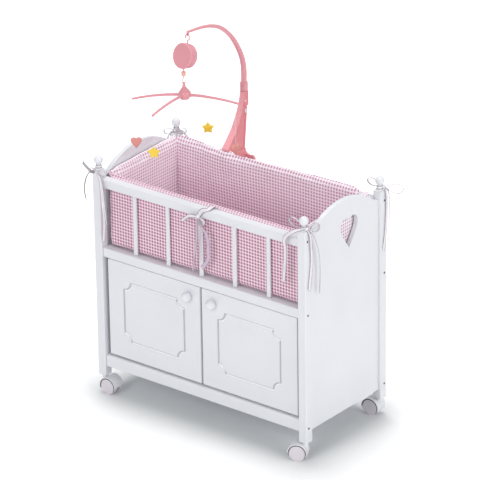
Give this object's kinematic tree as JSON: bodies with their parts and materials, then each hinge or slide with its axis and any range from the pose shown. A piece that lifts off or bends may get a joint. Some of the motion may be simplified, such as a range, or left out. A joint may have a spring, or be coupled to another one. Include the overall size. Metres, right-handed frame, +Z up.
{
  "type": "doll cot",
  "caption": "Doll cot on swivel casters: a slatted, padded crib over a two-door cabinet, with a clamp-on wind-up mobile.",
  "frame": {"origin": "on the floor, under the middle of the cot's outline with its mobile, the ornaments and their strings left out", "axes": "+Z up, +X along the cot to the right seen from the doors, the doors face -Y"},
  "size_m": [0.5478, 0.3154, 0.7647],
  "materials": {
    "coral_plastic": "moulded",
    "coral_wood": "painted",
    "cotton_string": "twisted",
    "mattress_cloth": "plain woven",
    "movement_metal": "plain",
    "painted_wood": "satin white paint",
    "pink_plastic": "moulded",
    "quilted_padding": "woven pink and white check",
    "wheel_plastic": "moulded",
    "white_plastic": "smooth moulded",
    "yellow_wood": "painted"
  },
  "bodies": {
    "cot": {"bumper_back": "quilted_padding", "bumper_front": "quilted_padding", "bumper_left": "quilted_padding", "bumper_right": "quilted_padding", "cabinet_back": "painted_wood", "cabinet_floor": "painted_wood", "crib_floor": "painted_wood", "end_panel_left": "painted_wood", "end_panel_right": "painted_wood", "mattress": "mattress_cloth", "mobile_arm": "pink_plastic", "mobile_clamp": "pink_plastic", "post_back_left": "painted_wood", "post_back_right": "painted_wood", "post_front_left": "painted_wood", "post_front_right": "painted_wood", "rail_back_bottom": "painted_wood", "rail_back_middle": "painted_wood", "rail_back_top": "painted_wood", "rail_front_bottom": "painted_wood", "rail_front_middle": "painted_wood", "rail_front_top": "painted_wood", "slat_back_1": "painted_wood", "slat_back_2": "painted_wood", "slat_back_3": "painted_wood", "slat_back_4": "painted_wood", "slat_back_5": "painted_wood", "slat_front_1": "painted_wood", "slat_front_2": "painted_wood", "slat_front_3": "painted_wood", "slat_front_4": "painted_wood", "slat_front_5": "painted_wood"},
    "door_left": {"door_left": "painted_wood", "knob_left": "painted_wood"},
    "door_right": {"door_right": "painted_wood", "knob_right": "painted_wood"},
    "caster_front_left": {"caster_front_left_hood": "white_plastic"},
    "caster_front_left_wheels": {"caster_front_left_wheels": "wheel_plastic"},
    "caster_front_right": {"caster_front_right_hood": "white_plastic"},
    "caster_front_right_wheels": {"caster_front_right_wheels": "wheel_plastic"},
    "caster_back_left": {"caster_back_left_hood": "white_plastic"},
    "caster_back_left_wheels": {"caster_back_left_wheels": "wheel_plastic"},
    "caster_back_right": {"caster_back_right_hood": "white_plastic"},
    "caster_back_right_wheels": {"caster_back_right_wheels": "wheel_plastic"},
    "clamp_screw": {"clamp_screw": "pink_plastic"},
    "music_box": {"music_box_cover": "pink_plastic", "music_box_shell": "pink_plastic", "music_movement": "movement_metal", "hanging_hook": "pink_plastic"},
    "winding_key": {"winding_key": "pink_plastic"},
    "carousel": {"spindle_hook": "coral_plastic"},
    "hanger": {"hanger": "pink_plastic"},
    "heart_right": {"string_right": "cotton_string", "heart_right": "coral_wood"},
    "star_back": {"string_back": "cotton_string", "star_back": "yellow_wood"},
    "heart_left": {"string_left": "cotton_string", "heart_left": "coral_wood"},
    "star_front": {"string_front": "cotton_string", "star_front": "yellow_wood"}
  },
  "joints": [
    {"name": "door_left_hinge", "type": "hinge", "parent": "cot", "child": "door_left", "pos_m": [-0.21304, -0.12322, 0.0872], "axis": [0, 0, -1], "range_deg": [0, 110]},
    {"name": "door_right_hinge", "type": "hinge", "parent": "cot", "child": "door_right", "pos_m": [0.23896, -0.12322, 0.0872], "axis": [0, 0, 1], "range_deg": [0, 110]},
    {"name": "caster_front_left_swivel", "type": "hinge", "parent": "cot", "child": "caster_front_left", "pos_m": [-0.23754, -0.12772, 0.038], "axis": [0, 0, 1], "continuous": true},
    {"name": "caster_front_left_roll", "type": "hinge", "parent": "caster_front_left", "child": "caster_front_left_wheels", "pos_m": [-0.22285, -0.1272, 0.017], "axis": [-0.0349, 0.9994, 0], "continuous": true},
    {"name": "caster_front_right_swivel", "type": "hinge", "parent": "cot", "child": "caster_front_right", "pos_m": [0.26346, -0.12772, 0.038], "axis": [0, 0, 1], "continuous": true},
    {"name": "caster_front_right_roll", "type": "hinge", "parent": "caster_front_right", "child": "caster_front_right_wheels", "pos_m": [0.25024, -0.13416, 0.017], "axis": [0.4384, -0.8988, 0], "continuous": true},
    {"name": "caster_back_left_swivel", "type": "hinge", "parent": "cot", "child": "caster_back_left", "pos_m": [-0.23754, 0.11128, 0.038], "axis": [0, 0, 1], "continuous": true},
    {"name": "caster_back_left_roll", "type": "hinge", "parent": "caster_back_left", "child": "caster_back_left_wheels", "pos_m": [-0.25192, 0.10823, 0.017], "axis": [0.2079, -0.9781, 0], "continuous": true},
    {"name": "caster_back_right_swivel", "type": "hinge", "parent": "cot", "child": "caster_back_right", "pos_m": [0.26346, 0.11128, 0.038], "axis": [0, 0, 1], "continuous": true},
    {"name": "caster_back_right_roll", "type": "hinge", "parent": "caster_back_right", "child": "caster_back_right_wheels", "pos_m": [0.24881, 0.11, 0.017], "axis": [0.0872, -0.9962, 0], "continuous": true},
    {"name": "clamp_screw_turn", "type": "hinge", "parent": "cot", "child": "clamp_screw", "pos_m": [-0.09404, 0.14228, 0.4544], "axis": [0, 1, 0], "range_deg": [0, 720]},
    {"name": "music_box_swing", "type": "hinge", "parent": "cot", "child": "music_box", "pos_m": [-0.09404, -0.02222, 0.757], "axis": [1, 0, 0], "range_deg": [-20, 20]},
    {"name": "winding_key_turn", "type": "hinge", "parent": "music_box", "child": "winding_key", "pos_m": [-0.0928, -0.01901, 0.71239], "axis": [-0.1165, -0.9492, 0.2924], "continuous": true},
    {"name": "carousel_turn", "type": "hinge", "parent": "music_box", "child": "carousel", "pos_m": [-0.09404, -0.03652, 0.6863], "axis": [0, 0, 1], "continuous": true},
    {"name": "hanger_lean", "type": "hinge", "parent": "carousel", "child": "hanger", "pos_m": [-0.09404, -0.03652, 0.6613], "axis": [-0.4848, -0.8746, 0], "range_deg": [-18, 6]},
    {"name": "heart_right_swing", "type": "hinge", "parent": "hanger", "child": "heart_right", "pos_m": [0.01611, -0.01767, 0.63838], "axis": [0.1925, -0.9813, 0], "range_deg": [-25, 25]},
    {"name": "star_back_swing", "type": "hinge", "parent": "hanger", "child": "star_back", "pos_m": [-0.1183, 0.06453, 0.59252], "axis": [0.9558, 0.294, 0], "range_deg": [-25, 25]},
    {"name": "heart_left_swing", "type": "hinge", "parent": "hanger", "child": "heart_left", "pos_m": [-0.19693, -0.06086, 0.61177], "axis": [-0.1925, 0.9813, 0], "range_deg": [-25, 25]},
    {"name": "star_front_swing", "type": "hinge", "parent": "hanger", "child": "star_front", "pos_m": [-0.07587, -0.15237, 0.63472], "axis": [-0.9923, -0.1236, 0], "range_deg": [-25, 25]}
  ],
  "couplings": [
    {"joint": "winding_key_turn", "follows": "carousel_turn", "ratio": 0.75}
  ]
}
